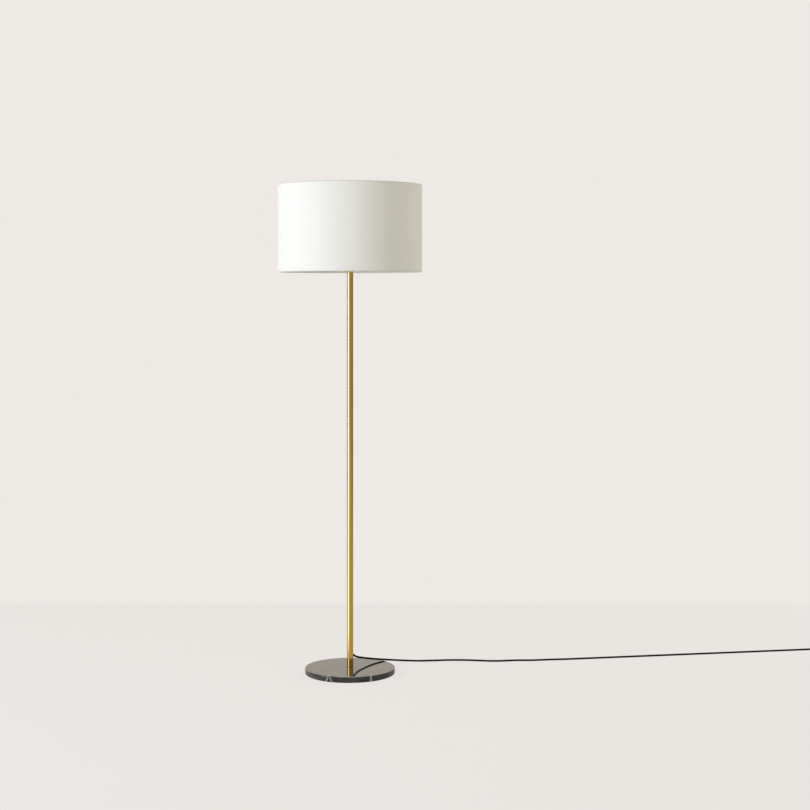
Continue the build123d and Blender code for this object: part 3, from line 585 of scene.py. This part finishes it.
# Shade cover: the textile on the drum, rolled over both wire rings, with its lap at the back
cover = {
    "radius": 225.0,
    "wallRadius": 224.85,
    "bottom": 1251.0,
    "top": 1523.0,
    "thickness": 0.5,
    "wire": 2.0,
    "ringRadius": 221.8,
    "arcSteps": 8,
    "wallRows": 24,
    "sides": 360,
    "lapAzimuth": 90.0,
    "lapWidth": 12.0,
    "lapRise": 0.45,
    "neckHeight": 1.3,
}
# One finish for each of the record's material slots
finishes = {
    "satin_brass": satinBrass(),
    "black_marble": blackMarble(),
    "felt": feltFinish(),
    "bare_brass": platedMetal("bareBrass", (0.82, 0.56, 0.22), 0.22),
    "zinc_steel": platedMetal("zincSteel", (0.66, 0.67, 0.69), 0.34),
    "nickel": platedMetal("nickelPlate", (0.74, 0.71, 0.66), 0.18),
    "black_plastic": mouldedPlastic("blackPlastic", (0.014, 0.014, 0.014), 0.42),
    "black_rubber": mouldedPlastic("blackRubber", (0.009, 0.009, 0.009), 0.60, gloss=0.3),
    "black_cord": mouldedPlastic(
        "blackCord", (0.003, 0.003, 0.003), 0.60, grain=0.00001, gloss=0.12
    ),
    "black_strap": wovenStrap(),
    "core_insulation": mouldedPlastic("coreInsulation", (0.20, 0.12, 0.07), 0.45),
    "white_ceramic": mouldedPlastic("whiteCeramic", (0.80, 0.78, 0.73), 0.40),
    "white_enamel": mouldedPlastic("whiteEnamel", (0.84, 0.83, 0.80), 0.30),
    "shade_liner": linerSheet(),
    "shade_textile": shadeTextile(),
    "seam_tape": mouldedPlastic("seamTape", (0.88, 0.87, 0.83), 0.60),
    "white_plastic": mouldedPlastic("whitePlastic", (0.84, 0.84, 0.82), 0.40),
    "opal_globe": opalGlobe(),
    "black_glass": mouldedPlastic("blackGlass", (0.012, 0.012, 0.014), 0.12, grain=0.0),
}
slotOf = {part["node"]: part["material_slot"] for part in frame["record"]["subparts"]}
for nodeName, node in nodes.items():
    node.data.materials.clear()
    node.data.materials.append(finishes[slotOf[nodeName]])
print("finishes made and given to the carried pieces")


def addPiece(name, mesh, body, slot, stoodFor=()):
    obj = bpy.data.objects.new(name, mesh)
    bpy.context.scene.collection.objects.link(obj)
    mesh.name = name
    mesh.materials.clear()
    mesh.materials.append(finishes[slot])
    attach(obj, body)
    if stoodFor:
        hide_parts(*stoodFor)
    return obj


# Geometry Nodes: a section (radius, height) turned about the pole's axis, with a thread or a lap
turnedSizes = {
    "Section": "Geometry",
    "Sides": "Int",
    "Closed": "Int",
    "Rise": "Float",
    "Pitch": "Float",
    "Foot": "Float",
    "Head": "Float",
    "Lap Azimuth": "Float",
    "Lap Angle": "Float",
    "Finish": "Material",
}
turning = {"lapStep": 0.0006, "weld": 0.000004}


# The first four columns stand close at the lap's two edges, and the rest are spread evenly
def lappedTurn(tree, given, column):
    calculate, close = partial(mathNode, tree), turning["lapStep"]
    half = calculate("MULTIPLY", given["Lap Angle"], 0.5)
    side = calculate("MULTIPLY_ADD", calculate("GREATER_THAN", column, 1.5), 2.0, -1.0)
    nudge = calculate("MULTIPLY_ADD", calculate("MODULO", column, 2.0), 2 * close, -close)
    near = calculate("MULTIPLY_ADD", side, half, nudge)
    start = calculate("ADD", half, close)
    span = calculate("SUBTRACT", tau, calculate("MULTIPLY", start, 2.0))
    step = calculate("DIVIDE", span, calculate("SUBTRACT", given["Sides"], 3.0))
    even = calculate("MULTIPLY_ADD", calculate("SUBTRACT", column, 3.0), step, start)
    atLap = calculate("LESS_THAN", column, 3.5)
    gap = calculate("MULTIPLY", atLap, calculate("SUBTRACT", near, even))
    angle = calculate("ADD", given["Lap Azimuth"], calculate("ADD", even, gap))
    fromMiddle = calculate("ABSOLUTE", calculate("SUBTRACT", column, 1.5))
    return angle, calculate("LESS_THAN", fromMiddle, 1.0)


# The thread's wave climbs one pitch in a turn, and runs in and out over a pitch at its ends
def threadedTurn(tree, given, column, height):
    calculate, pitch = partial(mathNode, tree), given["Pitch"]
    angle = calculate("DIVIDE", calculate("MULTIPLY", column, tau), given["Sides"])
    turns = calculate("DIVIDE", calculate("MULTIPLY", height, tau), pitch)
    wave = calculate("COSINE", calculate("SUBTRACT", turns, angle))
    wave = calculate("MULTIPLY_ADD", wave, -0.5, 0.5)
    runIn = ramp(tree, height, given["Foot"], calculate("ADD", given["Foot"], pitch))
    runOut = ramp(tree, height, given["Head"], calculate("SUBTRACT", given["Head"], pitch))
    return angle, calculate("MULTIPLY", wave, calculate("MULTIPLY", runIn, runOut))


def turnedTree(lapped):
    name = "lappedDrum" if lapped else "turnedRound"
    tree = bpy.data.node_groups.new(name, "GeometryNodeTree")
    for label, kind in turnedSizes.items():
        tree.interface.new_socket(label, in_out="INPUT", socket_type="NodeSocket" + kind)
    tree.interface.new_socket("Geometry", in_out="OUTPUT", socket_type="NodeSocketGeometry")
    given = addNode(tree, "NodeGroupInput").outputs
    section, calculate = given["Section"], partial(mathNode, tree)
    counted = addNode(tree, "GeometryNodeAttributeDomainSize", {0: section}, component="MESH")
    points = counted.outputs["Point Count"]
    rows = calculate("ADD", points, given["Closed"])
    columns = calculate("ADD", given["Sides"], 1)
    sheet = {"Size X": 1.0, "Size Y": 1.0, "Vertices X": columns, "Vertices Y": rows}
    grid = addNode(tree, "GeometryNodeMeshGrid", sheet).outputs["Mesh"]
    index = addNode(tree, "GeometryNodeInputIndex").outputs[0]
    column = calculate("FLOOR", calculate("DIVIDE", index, rows))
    inColumn = calculate("SUBTRACT", index, calculate("MULTIPLY", column, rows))
    row = calculate("MODULO", inColumn, points)

    def sampled(kind, value):
        inputs = {"Geometry": section, "Value": value, "Index": row}
        settings = {"data_type": kind, "domain": "POINT"}
        return addNode(tree, "GeometryNodeSampleIndex", inputs, **settings).outputs[0]

    def named(label):
        node = addNode(tree, "GeometryNodeInputNamedAttribute", {"Name": label}, data_type="FLOAT")
        return sampled("FLOAT", node.outputs[0])

    place = sampled("FLOAT_VECTOR", addNode(tree, "GeometryNodeInputPosition").outputs[0])
    proud, along = named("proud"), named("along")
    radius, height = axisOf(tree, place, "X"), axisOf(tree, place, "Z")
    if lapped:
        angle, lift = lappedTurn(tree, given, column)
    else:
        angle, lift = threadedTurn(tree, given, column, height)
    reach = calculate("MULTIPLY_ADD", calculate("MULTIPLY", proud, given["Rise"]), lift, radius)
    around = {
        axis: calculate("MULTIPLY", reach, calculate(turn, angle))
        for axis, turn in (("X", "COSINE"), ("Y", "SINE"))
    }
    position = addNode(tree, "ShaderNodeCombineXYZ", {**around, "Z": height}).outputs[0]
    inCloth = {"X": calculate("MULTIPLY", angle, radius), "Y": along}
    cloth = addNode(tree, "ShaderNodeCombineXYZ", inCloth).outputs[0]
    atCorners = {"data_type": "FLOAT2", "domain": "CORNER"}
    shape = grid
    for kind, inputs, settings in (
        ("SetPosition", {"Position": position}, {}),
        ("StoreNamedAttribute", {"Name": "cloth", "Value": cloth}, atCorners),
        ("MergeByDistance", {"Distance": turning["weld"]}, {}),
        ("SetShadeSmooth", {}, {}),
        ("RealizeInstances", {}, {}),
        ("SetMaterial", {"Material": given["Finish"]}, {}),
    ):
        inputs = {"Geometry": shape, **inputs}
        shape = addNode(tree, "GeometryNode" + kind, inputs, **settings).outputs[0]
    addNode(tree, "NodeGroupOutput", {"Geometry": shape})
    return tree


def grow(tree, start, name, **sizes):
    source = bpy.data.objects.new(name + "Section", start)
    bpy.context.scene.collection.objects.link(source)
    modifier = source.modifiers.new("grow", "NODES")
    modifier.node_group = tree
    for socket in tree.interface.items_tree:
        label = socket.name.replace(" ", "")
        if socket.in_out == "INPUT" and label in sizes:
            modifier[socket.identifier] = sizes[label]
    graph = bpy.context.evaluated_depsgraph_get()
    mesh = bpy.data.meshes.new_from_object(
        source.evaluated_get(graph), preserve_all_data_layers=True, depsgraph=graph
    )
    source.modifiers.remove(modifier)
    bpy.data.objects.remove(source)
    return mesh


def sectionMesh(name, section, proud):
    mesh = bpy.data.meshes.new(name)
    mesh.from_pydata([(radius * mm, 0, height * mm) for radius, height in section], [], [])
    travelled = [0.0]
    for first, second in zip(section, section[1:]):
        travelled.append(travelled[-1] + (Vector(second) - Vector(first)).length * mm)
    mesh.attributes.new("proud", "FLOAT", "POINT").data.foreach_set("value", proud)
    mesh.attributes.new("along", "FLOAT", "POINT").data.foreach_set("value", travelled)
    return mesh


def arc(centre, radius, start, end, steps):
    angles = [radians(start + (end - start) * step / steps) for step in range(steps + 1)]
    return [(centre[0] + radius * cos(angle), centre[1] + radius * sin(angle)) for angle in angles]


def rowsBetween(radius, low, high, step):
    count = max(1, round(abs(high - low) / step))
    return [(radius, low + (high - low) * row / count) for row in range(count + 1)]


roundTree, drumTree = turnedTree(False), turnedTree(True)
print("geometry trees built")

# Felt pad: a cut disc whose edge is a little soft
pad = {
    "radius": 135.0,
    "thickness": 2.0,
    "edge": 0.8,
    "edgeSteps": 4,
    "middleRing": 0.5,
    "sides": 160,
}


def addPad():
    edge, flat, thick = pad["edge"], pad["radius"] - pad["edge"], pad["thickness"]
    middle, steps = flat * pad["middleRing"], pad["edgeSteps"]
    section = [(0, 0), (middle, 0)] + arc((flat, edge), edge, 270, 360, steps)
    section += arc((flat, thick - edge), edge, 0, 90, steps) + [(middle, thick), (0, thick)]
    start = sectionMesh("padSection", section, [0.0] * len(section))
    mesh = grow(
        roundTree, start, "feltPad", Sides=pad["sides"], Pitch=1.0, Finish=finishes["felt"]
    )
    obj = addPiece("feltPad", mesh, "stand", "felt", ("floor_pad",))


addPad()
print("felt pad cut")

# Rolled threads: the bulb's cap, the socket's shell and the skirt for the ring nuts
threads = {
    "bulbCap": {
        "crest": 13.1,
        "rise": 0.62,
        "pitch": 3.62,
        "foot": 1316.6,
        "head": 1336.4,
        "bottom": 1315.0,
        "top": 1337.0,
        "chamfer": (0.9, 1.0),
        "collar": 0.3,
        "belowCollar": 0.4,
    },
    "shellThread": {
        "bore": 13.72,
        "wall": 0.3,
        "rise": -0.36,
        "pitch": 3.62,
        "foot": 1309.0,
        "head": 1331.4,
    },
    "skirtThread": {
        "root": 19.78,
        "wall": 0.5,
        "rise": 0.45,
        "pitch": 2.6,
        "foot": 1315.6,
        "head": 1335.2,
    },
    "sides": 72,
    "rowStep": 0.4,
}


def addThread(name, section, proud, closed, body, slot, stoodFor=()):
    spec = threads[name]
    mesh = grow(
        roundTree,
        sectionMesh(name + "Section", section, proud),
        name,
        Sides=threads["sides"],
        Closed=closed,
        Rise=spec["rise"] * mm,
        Pitch=spec["pitch"] * mm,
        Foot=spec["foot"] * mm,
        Head=spec["head"] * mm,
        Finish=finishes[slot],
    )
    return addPiece(name, mesh, body, slot, stoodFor)


def addThreads():
    cap, step = threads["bulbCap"], threads["rowStep"]
    root, bottom, top = cap["crest"] - cap["rise"], cap["bottom"], cap["top"]
    inset, rise = cap["chamfer"]
    lower = [(0, bottom), (root - inset, bottom)]
    wall = rowsBetween(root, bottom + rise, top - cap["belowCollar"], step)
    upper = [(cap["crest"], top - cap["collar"]), (cap["crest"], top), (0, top)]
    proud = [0.0] * len(lower) + [1.0] * len(wall) + [0.0] * len(upper)
    addThread("bulbCap", lower + wall + upper, proud, 0, "bulb", "nickel", ("bulb_screw_cap",))
    shell = threads["shellThread"]
    inner = rowsBetween(shell["bore"], shell["head"], shell["foot"], step)
    outer = [(shell["bore"] + shell["wall"], shell[end]) for end in ("foot", "head")]
    proud = [0.0] * len(outer) + [1.0] * len(inner)
    addThread("shellThread", outer + inner, proud, 1, "stand", "bare_brass")
    skirt = threads["skirtThread"]
    ridge = rowsBetween(skirt["root"], skirt["foot"], skirt["head"], step)
    core = [(skirt["root"] - skirt["wall"], skirt[end]) for end in ("head", "foot")]
    proud = [1.0] * len(ridge) + [0.0] * len(core)
    addThread("skirtThread", ridge + core, proud, 1, "stand", slotOf["holder_body"])


addThreads()
print("threads rolled")


def coverSection():
    wire, thick, steps = cover["wire"], cover["thickness"], cover["arcSteps"]
    rim = wire + thick
    low, high = cover["bottom"] + rim, cover["top"] - rim
    inner, outer, wall = cover["ringRadius"], cover["radius"] - rim, cover["wallRadius"]
    neck, rise = (cover["radius"] + wall) / 2, cover["neckHeight"]
    step = (high - low) / cover["wallRows"]
    outside = arc((inner, low), rim, 180, 270, steps) + arc((outer, low), rim, 270, 360, steps)
    outside += [(neck, low + rise)] + rowsBetween(wall, low + 2 * rise, high - 2 * rise, step)
    outside += [(neck, high - rise)] + arc((outer, high), rim, 0, 90, steps)
    outside += arc((inner, high), rim, 90, 180, steps)
    inside = arc((inner, high), wire, 180, 0, 2 * steps)
    inside += rowsBetween(cover["radius"] - thick, high, low, step)
    inside += arc((inner, low), wire, 0, -180, 2 * steps)
    proud = [1.0 if radius > outer else 0.0 for radius, height in outside] + [0.0] * len(inside)
    return outside + inside, proud


def addShadeCover():
    mesh = grow(
        drumTree,
        sectionMesh("coverSection", *coverSection()),
        "shadeCover",
        Sides=cover["sides"],
        Closed=1,
        Rise=cover["lapRise"] * mm,
        LapAzimuth=radians(cover["lapAzimuth"]),
        LapAngle=cover["lapWidth"] / cover["radius"],
        Finish=finishes["shade_textile"],
    )
    obj = addPiece("shadeCover", mesh, "shade", "shade_textile", ("shade_fabric",))


addShadeCover()
print("shade covered")

# Cord: out of the pole's boot, over the marble's edge, along the floor, into the coil and
# up to the plug
cordRun = {
    "diameter": 6.0,
    "length": 2.32,
    "exit": (12.89, 24.25, 50.42),
    "route": [
        (12.89, 24.25, 50.42),
        (19.5, 36.7, 44.0),
        (39, 54, 37.4),
        (69, 80, 28.9),
        (104, 97, 23.1),
        (150, 119, 16),
        (200, 145, 8.6),
        (247, 168, 4.2),
        (296, 182.5, 3),
        (352, 185.5, 3),
        (400, 178.5, 3),
        (448, 168.5, 3),
        (492, 172, 3),
        (532, 182, 3),
        (580, 179.5, 3),
        (630, 190.5, 3),
        (690, 197, 3),
        (749, 208.6, 3),
        (1499.8, 350.5, 3),
        (1544.0, 358.6, 3),
    ],
    "lead": [(1630, 394.5, 8.6), (1636, 409, 6.85), (1636, 423, 6.85)],
    "runOut": 14.0,
}
coil = {
    "centre": (1583.0, 403.0, 3.0),
    "outerRadius": 36.5,
    "pitch": 6.6,
    "layer": 6.6,
    "startAzimuth": -74.0,
    "endAzimuth": -60.0,
    "wholeTurns": 3,
    "pointsPerTurn": 20,
    "tieAzimuth": 203.0,
    "tieLift": 1.4,
    "tieSpread": 75.0,
}
# Woven strap round the coil's bundle, with its loose end lapped over the outside
strap = {
    "middle": (31.42, 7.9),
    "size": (15.2, 14.8),
    "cornerRadius": 2.5,
    "width": 9.0,
    "thickness": 1.0,
    "cornerSteps": 6,
    "overlap": 2,
    "looseShare": 0.9,
    # Round the band's section: side, how far in from that edge (mm), and level in the thickness
    "profile": [
        (-1, 0.0, -0.4),
        (-1, 0.25, -1),
        (1, 0.25, -1),
        (1, 0.0, -0.4),
        (1, 0.0, 0.4),
        (1, 0.3, 1),
        (1, 1.1, 0.8),
        (-1, 1.1, 0.8),
        (-1, 0.3, 1),
        (-1, 0.0, 0.4),
    ],
}


def coilPoint(turnedBy, wholeTurn):
    half = wholeTurn / 2
    radius = coil["outerRadius"] - coil["pitch"] * (half - abs(turnedBy - half)) / 360
    climbed = min(max((turnedBy - half) / 180 + 0.5, 0), 1)
    azimuth = coil["startAzimuth"] + turnedBy
    away = abs((azimuth - coil["tieAzimuth"] + 180) % 360 - 180)
    lift = coil["tieLift"] * cos(pi / 2 * min(away / coil["tieSpread"], 1)) ** 2
    rise = coil["layer"] * (0.5 - 0.5 * cos(pi * climbed)) + lift
    return Vector(coil["centre"]) + towards(azimuth) * radius + Vector((0, 0, rise))


def coilPoints():
    wholeTurn = 360 * coil["wholeTurns"] + coil["endAzimuth"] - coil["startAzimuth"]
    count = round(wholeTurn / 360 * coil["pointsPerTurn"])
    loops = [coilPoint(wholeTurn * index / count, wholeTurn) for index in range(count + 1)]
    leaving = towards(coil["endAzimuth"] + 90)
    entry = loops[0] - towards(coil["startAzimuth"] + 90) * cordRun["diameter"]
    leave = loops[-1] + leaving * cordRun["diameter"]
    return [entry, *loops, leave, leave + leaving * cordRun["runOut"]]


# Places and outward directions along the strap, in the plane across the cord
def strapLine(outwards):
    middle, radius = Vector(strap["middle"]), strap["cornerRadius"]
    half = Vector(strap["size"]) / 2 - Vector((radius, radius))
    line = []
    for corner, (sideX, sideY) in enumerate(((1, 1), (-1, 1), (-1, -1), (1, -1))):
        centre = middle + Vector((sideX * half.x, sideY * half.y))
        for step in range(strap["cornerSteps"] + 1):
            angle = radians(90 * (corner + step / strap["cornerSteps"]))
            away = Vector((cos(angle), sin(angle)))
            line.append((centre + away * (radius + outwards), away))
    return line


def strapBand(shape, line, closed, thick):
    wide, half = strap["width"] / 2, thick / 2
    edge = [(side * (wide - inset), level) for side, inset, level in strap["profile"]]
    centre = Vector(coil["centre"][:2] + (0,))
    outwards, sideways = towards(coil["tieAzimuth"]), towards(coil["tieAzimuth"] - 90)
    layer = shape.loops.layers.uv.verify()
    rings, reached = [], 0.0
    for index, (place, away) in enumerate(line):
        reached += (place - line[index - 1][0]).length if index else 0.0
        ring = []
        for across, level in edge:
            flat = place + away * level * half
            spot = centre + outwards * flat.x + sideways * across + Vector((0, 0, flat.y))
            ring.append((shape.verts.new(spot * mm), (reached * mm, across * mm)))
        rings.append(ring)
    pairs = list(zip(rings, rings[1:])) + ([(rings[-1], rings[0])] if closed else [])
    for first, second in pairs:
        for index in range(len(edge)):
            following = (index + 1) % len(edge)
            corners = (first[index], first[following], second[following], second[index])
            face = shape.faces.new([vert for vert, uv in corners])
            face.smooth = True
            for loop, (vert, uv) in zip(face.loops, corners):
                loop[layer].uv = uv
    if not closed:
        shape.faces.new([vert for vert, uv in rings[0]])
        shape.faces.new([vert for vert, uv in reversed(rings[-1])])


def addStrap():
    shape = bmesh.new()
    strapBand(shape, strapLine(0), True, strap["thickness"])
    lapped, overlap = strapLine(strap["thickness"]), strap["overlap"]
    loose = lapped[-overlap:] + lapped[: strap["cornerSteps"] + overlap]
    strapBand(shape, loose, False, strap["thickness"] * strap["looseShare"])
    bmesh.ops.recalc_face_normals(shape, faces=shape.faces)
    mesh = bpy.data.meshes.new("coilStrap")
    shape.to_mesh(mesh)
    shape.free()
    return addPiece("coilStrap", mesh, "stand", "black_strap", ("coil_tie",))


def addCord(tie):
    points = toMetres([*cordRun["route"], *coilPoints(), *cordRun["lead"]])
    data = bpy.data.curves.new("mainsCord", "CURVE")
    data.dimensions = "3D"
    spline = data.splines.new("NURBS")
    spline.points.add(len(points) - 1)
    for point, place in zip(spline.points, points):
        point.co = (*place, 1)
    spline.order_u = 3
    spline.use_endpoint_u = True
    spline.resolution_u = 8
    data.bevel_depth = cordRun["diameter"] * mm / 2
    data.bevel_resolution = 5
    data.use_fill_caps = True
    obj = addPiece("mainsCord", data, "stand", "black_cord", ("cord_run", "cord_coil", "plug_lead"))


addCord(addStrap())
print("cord laid and tied")
